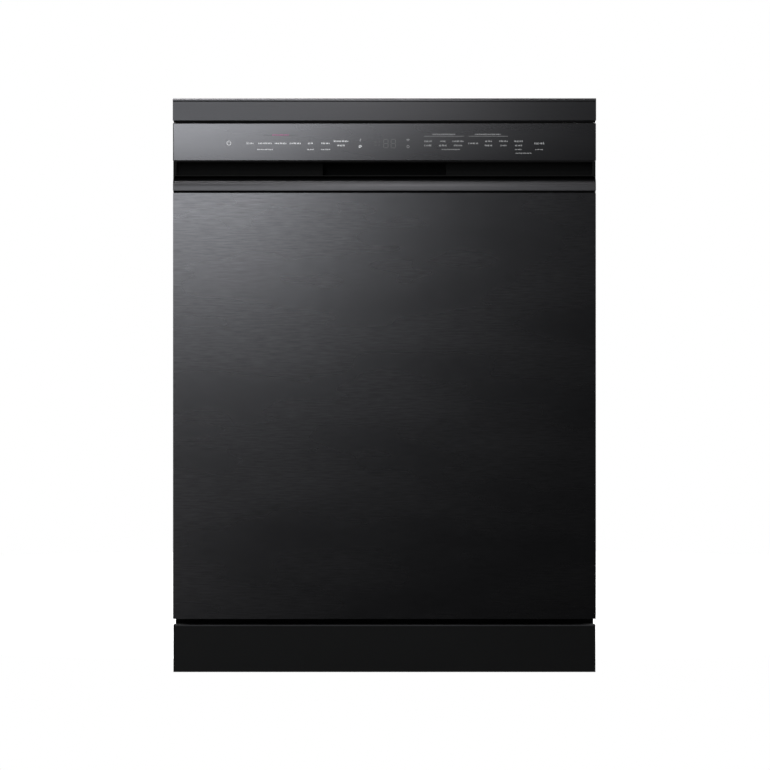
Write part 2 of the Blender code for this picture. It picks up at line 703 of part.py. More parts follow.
make_cabinet()
make_feet()
make_tub()
make_wash_parts()
make_base_parts()
make_hinges()
make_door()
make_lower_rack()
make_upper_rack()
make_cutlery_tray()
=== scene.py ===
"""Looks, lights and camera for the built in dishwasher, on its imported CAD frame. Metres, front at -Y."""

import math

import bmesh
import bpy
from mathutils import Matrix, Vector


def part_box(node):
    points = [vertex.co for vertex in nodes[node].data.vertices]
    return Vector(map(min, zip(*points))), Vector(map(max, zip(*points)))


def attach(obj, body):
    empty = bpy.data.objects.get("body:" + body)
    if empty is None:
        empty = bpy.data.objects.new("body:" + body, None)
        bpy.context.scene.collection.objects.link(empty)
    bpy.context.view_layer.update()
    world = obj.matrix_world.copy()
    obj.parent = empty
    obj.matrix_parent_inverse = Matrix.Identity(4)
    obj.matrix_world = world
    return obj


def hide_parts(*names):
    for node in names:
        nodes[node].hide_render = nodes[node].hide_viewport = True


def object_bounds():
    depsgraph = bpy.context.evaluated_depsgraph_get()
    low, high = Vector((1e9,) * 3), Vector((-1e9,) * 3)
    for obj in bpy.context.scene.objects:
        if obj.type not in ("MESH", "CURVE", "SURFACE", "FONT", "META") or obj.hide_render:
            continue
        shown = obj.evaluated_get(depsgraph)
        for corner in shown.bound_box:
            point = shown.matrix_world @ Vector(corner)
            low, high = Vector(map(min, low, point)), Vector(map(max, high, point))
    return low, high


# Camera, straight on to the front at half height, at a distance that keeps the view nearly flat.
LENS = 150.0
SENSOR = 36.0
VIEW_WIDTH = 1.0875
EYE_X, EYE_HEIGHT = 0.0008, 0.4097

# The floor reaches just past the front, so that it doesn't shine into the door.
FLOOR_RADIUS = 1.6

# Room light by direction: 0 is the front, 1 is the back. It is dark straight in front of the door.
ROOM_LIGHT = ((0.02, 0.0), (0.75, 0.55), (0.10, 0.08), (0.45, 0.15))

# Greys of the finishes, as linear light.
BLACK_STEEL = (0.166, 0.163, 0.172)
BLACK_PAINT = (0.012, 0.012, 0.013)
STAINLESS = (0.60, 0.60, 0.59)
ZINC = (0.36, 0.37, 0.38)
RACK_GREY = (0.17, 0.18, 0.19)
LIGHT_GREY = (0.36, 0.37, 0.38)
DARK_PLASTIC = (0.012, 0.012, 0.013)
INK = (0.78, 0.79, 0.80)
ACCENT = (0.55, 0.05, 0.28)

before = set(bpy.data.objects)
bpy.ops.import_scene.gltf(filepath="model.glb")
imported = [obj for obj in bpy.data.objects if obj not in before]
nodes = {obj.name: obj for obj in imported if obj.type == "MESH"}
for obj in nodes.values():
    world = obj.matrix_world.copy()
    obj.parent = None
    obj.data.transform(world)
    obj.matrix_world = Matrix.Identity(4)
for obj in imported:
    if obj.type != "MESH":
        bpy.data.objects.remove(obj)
CAD_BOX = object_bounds()


# -------------------- materials


class Shader:
    """A Principled material and short ways to add texture nodes to it."""

    def __init__(self, name, colour, roughness, metallic=0.0):
        self.material = bpy.data.materials.new(name)
        self.material.use_nodes = True
        self.material.diffuse_color = (*colour, 1)
        self.tree = self.material.node_tree
        self.surface = self.tree.nodes["Principled BSDF"]
        self.set("Base Color", (*colour, 1))
        self.set("Roughness", roughness)
        self.set("Metallic", metallic)

    def set(self, socket, value):
        self.surface.inputs[socket].default_value = value

    def add(self, kind, values=()):
        """A new shader node, with the inputs in a dictionary of values set."""
        node = self.tree.nodes.new(f"ShaderNode{kind}")
        for socket in values:
            node.inputs[socket].default_value = values[socket]
        return node

    def link(self, output, node, socket):
        self.tree.links.new(output, node.inputs[socket])

    def drive(self, socket, output):
        self.link(output, self.surface, socket)

    def place(self, scale):
        """Object coordinates, stretched by a scale on each axis."""
        stretch = self.add("Mapping", {"Scale": scale})
        self.link(self.add("TexCoord").outputs["Object"], stretch, "Vector")
        return stretch.outputs["Vector"]

    def noise(self, scale, detail=3.0, roughness=0.6):
        """A noise pattern, stretched by a scale on each axis."""
        node = self.add("TexNoise", {"Scale": 1.0, "Detail": detail, "Roughness": roughness})
        self.link(self.place(scale), node, "Vector")
        return node.outputs["Fac"]

    def rise(self, low, high, start, end):
        """A value that goes from start to end between two heights in the object's own frame."""
        split = self.add("SeparateXYZ")
        self.link(self.add("TexCoord").outputs["Object"], split, "Vector")
        node = self.add("MapRange", {"From Min": low, "From Max": high, "To Min": start, "To Max": end})
        self.link(split.outputs["Z"], node, "Value")
        return node.outputs["Result"]

    def scaled(self, colour, factor):
        """A colour output multiplied by a value."""
        node = self.add("VectorMath")
        node.operation = "SCALE"
        self.link(colour, node, 0)
        self.link(factor, node, "Scale")
        return node.outputs["Vector"]

    def ramp(self, factor, low, high):
        """A blend between two colours or greys, driven by the middle of a pattern's range."""
        node = self.add("ValToRGB")
        for stop, position, value in zip(node.color_ramp.elements, (0.3, 0.7), (low, high)):
            stop.position = position
            stop.color = (*value, 1) if isinstance(value, tuple) else (value, value, value, 1)
        self.link(factor, node, "Fac")
        return node.outputs["Color"]

    def bump(self, height, strength, distance):
        node = self.add("Bump", {"Strength": strength, "Distance": distance})
        self.link(height, node, "Height")
        self.drive("Normal", node.outputs["Normal"])


def shade(colour, factor):
    return tuple(c * factor for c in colour)


def brushed(name, colour, roughness, grain=(42, 500, 520), contrast=0.20, depth=0.00002, rise=None):
    """Metal with fine scratches along X. rise scales its colour between two heights, as light and shade
    painted into the colour.
    """
    made = Shader(name, colour, roughness, 1.0)
    fine = made.noise(grain, 4.0, 0.65)
    tone = made.ramp(fine, shade(colour, 1 - contrast), shade(colour, 1 + contrast))
    made.drive("Base Color", made.scaled(tone, made.rise(*rise)) if rise else tone)
    wide = made.noise((4, 14, 14), 2.0)
    made.drive("Roughness", made.ramp(wide, roughness - 0.012, roughness + 0.012))
    made.bump(fine, 0.35, depth)
    return made.material


def moulded(name, colour, roughness, grain=900, depth=0.00008):
    """Plastic with a fine spark-eroded texture and slight mottling."""
    made = Shader(name, colour, roughness)
    speckle = made.noise((grain, grain, grain), 2.0)
    cloud = made.noise((14, 14, 14), 3.0)
    made.drive("Base Color", made.ramp(cloud, shade(colour, 0.92), shade(colour, 1.08)))
    made.drive("Roughness", made.ramp(speckle, roughness - 0.05, roughness + 0.06))
    made.bump(speckle, 0.25, depth)
    return made.material


def painted(name, colour, roughness):
    """Powder coat: a shallow orange peel under a satin gloss."""
    made = Shader(name, colour, roughness)
    peel = made.noise((420, 420, 420), 2.0)
    made.drive("Roughness", made.ramp(peel, roughness - 0.04, roughness + 0.05))
    cloud = made.noise((9, 9, 9), 3.0)
    made.drive("Base Color", made.ramp(cloud, shade(colour, 0.85), shade(colour, 1.2)))
    made.bump(peel, 0.3, 0.00012)
    return made.material


def galvanised(name, colour):
    """Zinc with pale spangles."""
    made = Shader(name, colour, 0.42, 1.0)
    cell = made.add("TexVoronoi", {"Scale": 1.0})
    made.link(made.place((150, 150, 150)), cell, "Vector")
    spangle = cell.outputs["Distance"]
    made.drive("Base Color", made.ramp(spangle, shade(colour, 0.95), shade(colour, 1.05)))
    made.drive("Roughness", made.ramp(spangle, 0.36, 0.5))
    made.bump(made.noise((300, 300, 300)), 0.15, 0.0001)
    return made.material


def flat(name, colour, roughness, glow=0.0):
    """Ink and other thin films: nearly even, with a trace of mottling and a painted glow from emission.
    Ink and other thin films: nearly even, with a trace of mottling and perhaps a back light.
    """
    made = Shader(name, colour, roughness)
    # The emission is a painted glow, not a lamp.
    made.set("Emission Color", (*colour, 1))
    made.set("Emission Strength", glow)
    cloud = made.noise((600, 600, 600))
    made.drive("Base Color", made.ramp(cloud, shade(colour, 0.93), shade(colour, 1.05)))
    return made.material


def shading(name, low_share, high_share):
    """A node's lowest and highest Z in its own frame, and the painted brightness at each: light and shade
    painted into its colour by height.
    """
    heights = [corner[2] for corner in nodes[name].bound_box]
    return min(heights), max(heights), low_share, high_share


# Painted shade and light: the handle trim is painted darker towards its top, under the control panel, and
# lighter towards its lip; the control panel is painted lighter towards its top.
TRIM_SHADING = shading("handle_trim", 1.1, 0.30)
PANEL_SHADING = shading("control_panel", 0.66, 1.02)

LOOKS = {
    "door": brushed("door_steel", BLACK_STEEL, 0.275),
    "trim": brushed("trim_steel", BLACK_STEEL, 0.44, (60, 500, 520), 0.06, 0.00001, TRIM_SHADING),
    "panel": brushed("panel_steel", BLACK_STEEL, 0.275, (30, 500, 700), 0.03, 0.00001, PANEL_SHADING),
    "cover": brushed("cover_steel", shade(BLACK_STEEL, 0.56), 0.36, (8, 700, 900), 0.03, 0.00001),
    # Near-black plastic of the handle pocket and end caps; the same look on sheets behind the front's gaps
    # is painted shade.
    "pocket": moulded("pocket_plastic_and_gap_shade", (0.002, 0.002, 0.002), 0.85),
    "paint": painted("black_powder_coat", BLACK_PAINT, 0.42),
    "kick": painted("kickplate_coat", shade(BLACK_PAINT, 0.5), 0.52),
    # A paint eight times lighter than the black paint, for a painted highlight along the kickplate's top
    # edge.
    "kick_painted_highlight": painted("kick_painted_highlight_coat", shade(BLACK_PAINT, 8.0), 0.45),
    "stainless": brushed("tub_steel", STAINLESS, 0.30, (40, 600, 1500), 0.025, 0.000012),
    "zinc": galvanised("zinc_sheet", ZINC),
    "rack": moulded("rack_nylon", RACK_GREY, 0.42, 500),
    "grey": moulded("grey_plastic", (0.13, 0.135, 0.14), 0.46),
    "light": moulded("light_plastic", LIGHT_GREY, 0.45),
    "dark": moulded("dark_plastic", DARK_PLASTIC, 0.5),
    "rubber": moulded("gasket_rubber", (0.02, 0.02, 0.02), 0.7, 300),
    # The inks' emission is a painted glow over their printed colour.
    "ink": flat("legend_ink", INK, 0.6, 0.75),
    "dim_ink": flat("dim_ink", shade(INK, 0.60), 0.6, 0.50),
    "faint_ink": flat("faint_ink", shade(INK, 0.27), 0.6, 0.36),
    "rule_ink": flat("rule_ink", shade(INK, 0.18), 0.6, 0.1),
    "accent": flat("accent_ink", ACCENT, 0.5, 0.45),
}

SIDES = (("left", -1), ("right", 1))


def both(name):
    return [f"{name}_{side}" for side, _ in SIDES]


FEET = both("foot_front") + both("foot_rear")
WHEELS = both("rack_wheel_front") + both("rack_wheel_rear")
BASKETS = [f"{level}_rack{end}" for level in ("lower", "upper") for end in ("", "_front", "_back")]

NODE_LOOKS = {
    "door": ["door_outer_panel"],
    "trim": ["handle_trim"],
    "pocket": ["handle_pocket"],
    "panel": ["control_panel"],
    "cover": ["top_cover"],
    "paint": both("side_panel"),
    "kick": ["kickplate"],
    "stainless": ["tub", "tub_front_frame", "door_inner_panel", "filter_plate", "lower_spray_arm"]
    + both("rack_rail"),
    "zinc": ["rear_panel", *both("hinge_bracket"), *both("hinge_arm"), "latch_strike", "door_latch"],
    "rack": BASKETS + both("tine_row"),
    "grey": both("cup_shelf") + ["cutlery_tray", "coarse_filter", "upper_spray_arm", "top_spray_arm"]
    + ["circulation_pump", "drain_pump", "dispenser_body"],
    "light": ["water_softener", "inlet_valve", "air_break_chamber", "spray_supply_pipe", *both("tray_rail")]
    + ["salt_cap", "detergent_lid", "rinse_aid_cap"] + WHEELS,
    "dark": ["base_tray", "sump", "display_board"] + FEET,
    "rubber": ["tub_gasket"],
}

# The nodes by the width of the small rounded edges that catch the light.
EDGES = {
    0.0005: ["top_cover", "control_panel", "door_inner_panel", "tub"],
    0.0006: ["handle_pocket"],
    0.0007: ["door_outer_panel"],
    0.0008: ["sump"],
    0.0009: ["detergent_lid", "cutlery_tray"],
    0.0012: both("cup_shelf"),
    0.0013: ["kickplate"],
    0.0015: ["dispenser_body", "base_tray"],
    0.0030: ["spray_supply_pipe"],
}


def smooth_over(data, degrees):
    """Smooth shading, with the edges sharper than an angle kept."""
    data.shade_smooth()
    data.set_sharp_from_angle(angle=math.radians(degrees))


def round_edges(obj, width, segments=3, angle=35):
    edge = obj.modifiers.new("edge", "BEVEL")
    edge.width = width
    edge.segments = segments
    edge.limit_method = "ANGLE"
    edge.angle_limit = math.radians(angle)
    edge.harden_normals = True


def finish_cad_nodes():
    for look, names in NODE_LOOKS.items():
        for name in names:
            materials = nodes[name].data.materials
            materials.clear()
            materials.append(LOOKS[look])
    for name in ("handle_trim", "top_cover"):
        smooth_over(nodes[name].data, 35)
    for width, names in EDGES.items():
        for name in names:
            round_edges(nodes[name], width, angle=40)


# -------------------- building


def put(name, data):
    """A new object in the scene."""
    obj = bpy.data.objects.new(name, data)
    bpy.context.scene.collection.objects.link(obj)
    return obj


def add_piece(name, data, look, body, replaces=()):
    """A new piece of the object, riding on a body. replaces names the CAD nodes that it stands in for."""
    obj = put(name, data)
    data.materials.append(LOOKS[look])
    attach(obj, body)
    if replaces:
        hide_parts(*replaces)
    return obj


def link_mesh(name, mesh, look, body, replaces=(), smooth=35, edge=0):
    """Turns a bmesh into a piece. smooth is the sharpest angle shaded softly, and edge rounds the edges."""
    bmesh.ops.remove_doubles(mesh, verts=mesh.verts, dist=1e-7)
    bmesh.ops.recalc_face_normals(mesh, faces=mesh.faces)
    data = bpy.data.meshes.new(name)
    mesh.to_mesh(data)
    mesh.free()
    if smooth:
        smooth_over(data, smooth)
    obj = add_piece(name, data, look, body, replaces)
    if edge:
        round_edges(obj, edge)
    return obj


def add_box(mesh, low, high):
    """A box between two corners, given in any order."""
    made = bmesh.ops.create_cube(mesh, size=1.0)["verts"]
    size = [abs(b - a) for a, b in zip(low, high)]
    middle = [(a + b) / 2 for a, b in zip(low, high)]
    bmesh.ops.scale(mesh, vec=size, verts=made)
    bmesh.ops.translate(mesh, vec=middle, verts=made)
    return made


def add_rib(mesh, low, high, angle, axis, place):
    """A box that is turned about an axis through the origin, and then moved."""
    made = add_box(mesh, low, high)
    bmesh.ops.rotate(mesh, cent=(0, 0, 0), matrix=Matrix.Rotation(angle, 3, axis), verts=made)
    bmesh.ops.translate(mesh, vec=place, verts=made)


def add_strip(name, look, body, low, high):
    """A thin strip between two corners, as a piece of its own."""
    mesh = bmesh.new()
    add_box(mesh, low, high)
    link_mesh(name, mesh, look, body)


def join_rings(mesh, rings):
    """Faces between each ring of vertices and the next."""
    for near, far in zip(rings, rings[1:]):
        count = len(near)
        for i in range(count):
            j = (i + 1) % count
            mesh.faces.new((near[i], near[j], far[j], far[i]))


AXIS_TURNS = {
    "Z": Matrix.Identity(3),
    "X": Matrix.Rotation(math.radians(90), 3, "Y"),
    "-X": Matrix.Rotation(math.radians(-90), 3, "Y"),
    "Y": Matrix.Rotation(math.radians(-90), 3, "X"),
    "-Y": Matrix.Rotation(math.radians(90), 3, "X"),
}


def add_turned(mesh, centre, profile, axis="Z", steps=40):
    """A turned shape: (radius, height) pairs, spun about an axis through its centre."""
    rings = []
    for radius, height in profile:
        ring = []
        for step in range(steps):
            angle = math.tau * step / steps
            spot = Vector((radius * math.cos(angle), radius * math.sin(angle), height))
            ring.append(mesh.verts.new(AXIS_TURNS[axis] @ spot + Vector(centre)))
        rings.append(ring)
    join_rings(mesh, rings)


def rounded_route(points, radius, closed=False, steps=5):
    """The points of a wire with its corners bent to a radius."""
    out = []
    count = len(points)
    for i, point in enumerate(points):
        here = Vector(point)
        if not closed and i in (0, count - 1):
            out.append(here)
            continue
        before = Vector(points[i - 1])
        after = Vector(points[(i + 1) % count])
        to_before, to_after = (before - here).normalized(), (after - here).normalized()
        start, end = here + to_before * radius, here + to_after * radius
        for step in range(steps + 1):
            t = step / steps
            out.append(start.lerp(here, t).lerp(here.lerp(end, t), t))
    return out


def add_spline(curve, points, closed=False, thickness=1.0):
    spline = curve.splines.new("POLY")
    spline.points.add(len(points) - 1)
    spline.use_cyclic_u = closed
    for point, place in zip(spline.points, points):
        point.co = (*place, 1)
        point.radius = thickness


def wire_curve(name, radius):
    curve = bpy.data.curves.new(name, "CURVE")
    curve.dimensions = "3D"
    curve.bevel_depth = radius
    curve.bevel_resolution = 2
    curve.use_fill_caps = True
    return curve


def spread(low, high, count):
    """Evenly spaced values from low to high."""
    return [low + (high - low) * i / (count - 1) for i in range(count)]


# -------------------- racks

WIRE_RADIUS, RIM_RADIUS = 0.0017, 0.0029
CROSS_PITCH, LONG_PITCH = 0.030, 0.040
WHEEL_RIBS = 6
# The distance from each jointed wheel to the wheel beside it that has no joint.
WHEEL_PITCH = 0.115


def hoop(curve, low, high, z, bend, thickness):
    corners = [(low.x, low.y, z), (high.x, low.y, z), (high.x, high.y, z), (low.x, high.y, z)]
    add_spline(curve, rounded_route(corners, bend, True), True, thickness)


def make_basket(name, hoops):
    """A basket of round coated wires in place of a CAD trough and its two end panels."""
    front_low, front_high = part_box(f"{name}_front")
    back_low, back_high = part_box(f"{name}_back")
    low = Vector((front_low.x + RIM_RADIUS, (front_low.y + front_high.y) / 2, front_low.z + RIM_RADIUS))
    high = Vector((front_high.x - RIM_RADIUS, (back_low.y + back_high.y) / 2, front_high.z - RIM_RADIUS))
    curve = wire_curve(name, WIRE_RADIUS)
    rows = round((high.y - low.y - 0.03) / CROSS_PITCH)
    for y in spread(low.y + 0.016, high.y - 0.016, rows):
        trough = [(low.x, y, high.z), (low.x, y, low.z), (high.x, y, low.z), (high.x, y, high.z)]
        add_spline(curve, rounded_route(trough, 0.022))
    columns = round((high.x - low.x - 0.04) / LONG_PITCH)
    for x in spread(low.x + 0.024, high.x - 0.024, columns):
        z = low.z - WIRE_RADIUS * 1.6
        trough = [(x, low.y, high.z), (x, low.y, z), (x, high.y, z), (x, high.y, high.z)]
        add_spline(curve, rounded_route(trough, 0.022))
    thick = RIM_RADIUS / WIRE_RADIUS
    hoop(curve, low, high, high.z, 0.030, thick)
    for share in hoops:
        hoop(curve, low, high, low.z + share * (high.z - low.z), 0.030, 1.15)
    add_piece(f"{name}_wires", curve, "rack", name, [name, f"{name}_front", f"{name}_back"])


def wheel_mesh(mesh, x, y, z, radius, half):
    """One rack wheel: a grooved tread, a thin web with ribs and a hub."""
    # One side of the tread, web and hub, as shares of the radius and of half the width.
    side = ((1, 0.7), (0.97, 1), (0.80, 1), (0.80, 0.3), (0.34, 0.3), (0.34, 1), (0.14, 1))
    outline = [(radius * out, half * along) for out, along in side]
    outline += [(radius * out, -half * along) for out, along in reversed(side)]
    add_turned(mesh, (x, y, z), outline + outline[:1], "X", 36)
    for turn in range(WHEEL_RIBS):
        low, high = (-half * 0.75, -0.0008, radius * 0.3), (half * 0.75, 0.0008, radius * 0.82)
        add_rib(mesh, low, high, math.tau * turn / WHEEL_RIBS, "X", (x, y, z))


def make_wheels():
    """The four jointed wheels, and between them the four that only ride on the rack."""
    for node in WHEELS:
        low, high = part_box(node)
        half = (high - low) / 2
        mesh = bmesh.new()
        wheel_mesh(mesh, *(low + half), half.z, half.x)
        link_mesh(f"{node}_moulding", mesh, "light", node, [node])
    pin = [(0.0001, -0.004), (0.0024, -0.004), (0.0024, 0.0105), (0.0001, 0.0105)]
    for side, sign in SIDES:
        low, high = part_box(f"rack_wheel_front_{side}")
        half = (high - low) / 2
        x, y_front, z = low + half
        mesh = bmesh.new()
        for y in (y_front + WHEEL_PITCH, -y_front - WHEEL_PITCH):
            wheel_mesh(mesh, x, y, z, half.z, half.x)
        link_mesh(f"inner_wheels_{side}", mesh, "light", "lower_rack")
        carriers = bmesh.new()
        for y in (y_front, y_front + WHEEL_PITCH, -y_front - WHEEL_PITCH, -y_front):
            inner, outer = x - sign * 0.0225, x - sign * 0.0066
            add_box(carriers, (inner, y - 0.012, z - 0.006), (outer, y + 0.012, z + 0.016))
            add_turned(carriers, (x - sign * 0.004, y, z), pin, "X" if sign > 0 else "-X", 16)
        link_mesh(f"wheel_carriers_{side}", carriers, "grey", "lower_rack", edge=0.0012)


def make_tine_rows():
    """Folding rows of tines on a rod, with a clip at each end."""
    for node in both("tine_row"):
        low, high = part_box(node)
        x, z = (low.x + high.x) / 2, low.z + 0.0022
        curve = wire_curve(node, WIRE_RADIUS)
        add_spline(curve, [(x, low.y, z), (x, high.y, z)], False, 1.25)
        for y in spread(low.y + 0.020, high.y - 0.020, 13):
            tine = [(x, y - 0.003, z), (x, y - 0.003, high.z - 0.003), (x, y + 0.001, high.z)]
            add_spline(curve, rounded_route(tine + [(x, y + 0.003, z)], 0.003))
        add_piece(f"{node}_wires", curve, "rack", node, [node])
        clips = bmesh.new()
        for y in (low.y - 0.004, 0.0, high.y + 0.004):
            add_box(clips, (x - 0.007, y - 0.0035, z - 0.0075), (x + 0.007, y + 0.0035, z - 0.0026))
        link_mesh(f"{node}_clips", clips, "grey", "lower_rack", edge=0.001)


def make_rack_handles():
    """A moulded grip clipped on the front rim of each basket."""
    for name in ("lower_rack", "upper_rack"):
        low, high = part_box(f"{name}_front")
        y = (low.y + high.y) / 2
        mesh = bmesh.new()
        add_box(mesh, (-0.075, y - 0.0032, high.z - 0.026), (0.075, y + 0.006, high.z + 0.0008))
        round_edges(link_mesh(f"{name}_grip", mesh, "grey", name), 0.0028, 4)


def make_runners():
    """The upper rack's telescopic runners, their brackets and its water feed."""
    rail_low, rail_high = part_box("rack_rail_right")
    middle_z = (rail_low.z + rail_high.z) / 2
    for side, sign in SIDES:
        runner = bmesh.new()
        low = (sign * 0.2562, -0.212, middle_z - 0.0058)
        add_box(runner, low, (sign * 0.2658, 0.212, middle_z + 0.0058))
        link_mesh(f"runner_{side}", runner, "stainless", "upper_rack", edge=0.0015)
        brackets = bmesh.new()
        for y in (-0.165, 0.0, 0.165):
            plate = (sign * 0.2385, y - 0.016, middle_z - 0.012)
            add_box(brackets, plate, (sign * 0.2415, y + 0.016, middle_z + 0.060))
            arm = (sign * 0.2405, y - 0.010, middle_z - 0.0045)
            add_box(brackets, arm, (sign * 0.2565, y + 0.010, middle_z + 0.0045))
        link_mesh(f"runner_brackets_{side}", brackets, "grey", "upper_rack", edge=0.001)
    arm_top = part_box("upper_spray_arm")[1].z
    rack_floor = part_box("upper_rack_front")[0].z
    feed = bmesh.new()
    add_box(feed, (-0.0085, 0.0, arm_top + 0.0025), (0.0085, 0.2292, rack_floor - 0.0012))
    cone = [(0.0001, 0.001), (0.017, 0.001), (0.015, 0.008), (0.012, 0.0125), (0.0001, 0.0125)]
    add_turned(feed, (0, 0, arm_top), cone)
    link_mesh("upper_feed_tube", feed, "grey", "upper_rack", edge=0.003)


def make_tray_fins():
    """Thin bars across the tray's windows and the low fins that part the cutlery."""
    low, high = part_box("cutlery_tray")
    floor = low.z + 0.0005
    bars = bmesh.new()
    for x in spread(-0.243, 0.243, 28):
        add_box(bars, (x - 0.0008, low.y + 0.003, floor), (x + 0.0008, high.y - 0.003, floor + 0.002))
    for y in spread(low.y + 0.030, high.y - 0.030, 17):
        for left, right in ((-0.240, -0.135), (-0.120, -0.015), (0.015, 0.120), (0.135, 0.240)):
            add_box(bars, (left, y - 0.0009, floor), (right, y + 0.0009, floor + 0.0095))
    link_mesh("tray_fins", bars, "grey", "cutlery_tray", smooth=0)
    ribs = bmesh.new()
    for x in (-0.1275, 0.0, 0.1275):
        add_box(ribs, (x - 0.0022, low.y + 0.002, floor), (x + 0.0022, high.y - 0.002, floor + 0.026))
    link_mesh("tray_dividers", ribs, "grey", "cutlery_tray", edge=0.0008)


# -------------------- wash parts

# How far the arms bend to each side, and the places of the jets along them.
ARM_SWEEP = 0.010
JET_SHARES = (-0.92, -0.78, -0.62, -0.45, -0.28, 0.22, 0.36, 0.53, 0.70, 0.88)


def make_spray_arm(node, look, reach, width, hub_radius):
    """A hollow blade with swept, tapering arms, raised nozzles and a hub."""
    low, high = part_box(node)
    top = high.z - 0.0025
    middle = (low.z + high.z) / 2
    mesh = bmesh.new()
    rings = []
    for share in spread(-1.0, 1.0, 33):
        half = width / 2 * (0.62 + 0.38 * (1 - abs(share)) ** 0.6) * (1 - abs(share) ** 9 * 0.75)
        sweep = ARM_SWEEP * math.sin(share * math.pi)
        thick = (top - middle) * (1 - 0.25 * abs(share))
        ring = []
        for turn in range(16):
            angle = math.tau * turn / 16
            c, s = math.cos(angle), math.sin(angle)
            dy = half * math.copysign(abs(c) ** 0.7, c)
            dz = thick * math.copysign(abs(s) ** 0.6, s)
            ring.append(mesh.verts.new((share * reach, sweep + dy, middle + dz)))
        rings.append(ring)
    join_rings(mesh, rings)
    mesh.faces.new(rings[0])
    mesh.faces.new(reversed(rings[-1]))
    tall = high.z - low.z
    hub = [(0.0001, 0.0002), (hub_radius * 0.9, 0.0002), (hub_radius, 0.002)]
    hub += [(hub_radius, tall - 0.003), (hub_radius * 0.7, tall - 0.0004), (0.0001, tall - 0.0002)]
    add_turned(mesh, (0, 0, low.z), hub)
    link_mesh(f"{node}_blade", mesh, look, node, [node], smooth=40)
    jets = bmesh.new()
    jet = [(0.0001, 0.0), (0.0036, 0.0), (0.0028, 0.0011), (0.0001, 0.0013)]
    for share in JET_SHARES:
        sweep = ARM_SWEEP * math.sin(share * math.pi)
        add_turned(jets, (share * reach, sweep, top - 0.0004), jet, "Z", 16)
    link_mesh(f"{node}_jets", jets, "dark", node)


def make_filter_details():
    """The filter's rings and spokes, and the ribs round the salt cap."""
    low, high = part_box("coarse_filter")
    x = (low.x + high.x) / 2
    radius = (high.x - low.x) / 2
    rim = high.z - 0.007
    mesh = bmesh.new()
    for reach in (radius * 0.97, radius * 0.60):
        inner = reach - 0.0022
        ring = [(inner, -0.0010), (reach - 0.0005, -0.0010), (reach, 0.0), (reach - 0.0008, 0.0014)]
        add_turned(mesh, (x, 0, rim), ring + [(inner, 0.0010), (inner, -0.0010)])
    for turn in range(3):
        start, end = (-radius * 0.93, -0.0009, -0.001), (radius * 0.93, 0.0009, 0.0004)
        add_rib(mesh, start, end, math.pi * (turn + 0.5) / 3, "Z", (x, 0, rim))
    link_mesh("filter_cage", mesh, "grey", "coarse_filter")
    low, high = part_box("salt_cap")
    middle = (low + high) / 2
    reach = (high.x - low.x) / 2
    ribs = bmesh.new()
    for turn in range(24):
        start, end = (reach - 0.001, -0.0012, low.z + 0.001), (reach + 0.0007, 0.0012, low.z + 0.009)
        add_rib(ribs, start, end, math.tau * turn / 24, "Z", (middle.x, middle.y, 0))
    link_mesh("salt_cap_ribs", ribs, "light", "salt_cap", smooth=0)


# -------------------- door liner and dispenser

VENT_X, VENT_Z = 0.170, 0.420
# The column of the dispenser's cap and button, and the height of each.
CAP_X, CAP_Z, BUTTON_Z = 0.045, 0.430, 0.372


def rounded_outline(width, height, radius, steps=6):
    """Corner points of a rounded rectangle about the origin, as (across, up) pairs."""
    out = []
    for turn, (sx, sz) in enumerate(((1, 1), (-1, 1), (-1, -1), (1, -1))):
        for step in range(steps + 1):
            angle = math.pi / 2 * (turn + step / steps)
            across = sx * (width / 2 - radius) + radius * math.cos(angle)
            out.append((across, sz * (height / 2 - radius) + radius * math.sin(angle)))
    return out


def add_terraces(mesh, place, width, height, radius, steps):
    """Rounded rectangles inside each other, joined up. place turns (across, up, out) into a point."""
    rings = []
    for inset, rise in steps:
        outline = rounded_outline(width - 2 * inset, height - 2 * inset, max(radius - inset, 0.001))
        rings.append([mesh.verts.new(place(a, u, rise)) for a, u in outline])
    join_rings(mesh, rings)
    return rings[-1]


def add_frame(mesh, place, width, height, radius, band, depth):
    """A raised rounded frame with sloping sides."""
    steps = ((0.0, 0.0), (band * 0.35, depth), (band * 0.65, depth), (band, 0.0))
    add_terraces(mesh, place, width, height, radius, steps)


def add_pad(mesh, place, width, height, radius, slope, depth):
    """A raised rounded panel with sloping sides and a flat top."""
    steps = ((0.0, 0.0), (slope * 0.3, depth * 0.6), (slope, depth))
    mesh.faces.new(add_terraces(mesh, place, width, height, radius, steps))


def facing(x, y, z, axis, sign=1):
    """A placer for add_frame and add_pad: (across, up, out) from a point, facing along X or Y."""
    if axis == "X":
        return lambda a, u, out: (x + sign * out, y + a, z + u)
    return lambda a, u, out: (x + a, y + sign * out, z + u)


def add_screw(mesh, x, y, z, axis, radius=0.0036):
    """A pan head screw with a round recess, seen from outside."""
    shares = ((0.30, 0.30), (0.34, 0.55), (0.80, 0.42), (1.0, 0.10), (1.0, 0.0))
    head = [(0.0001, radius * 0.30)] + [(radius * out, radius * up) for out, up in shares]
    add_turned(mesh, (x, y, z), head, axis, 20)


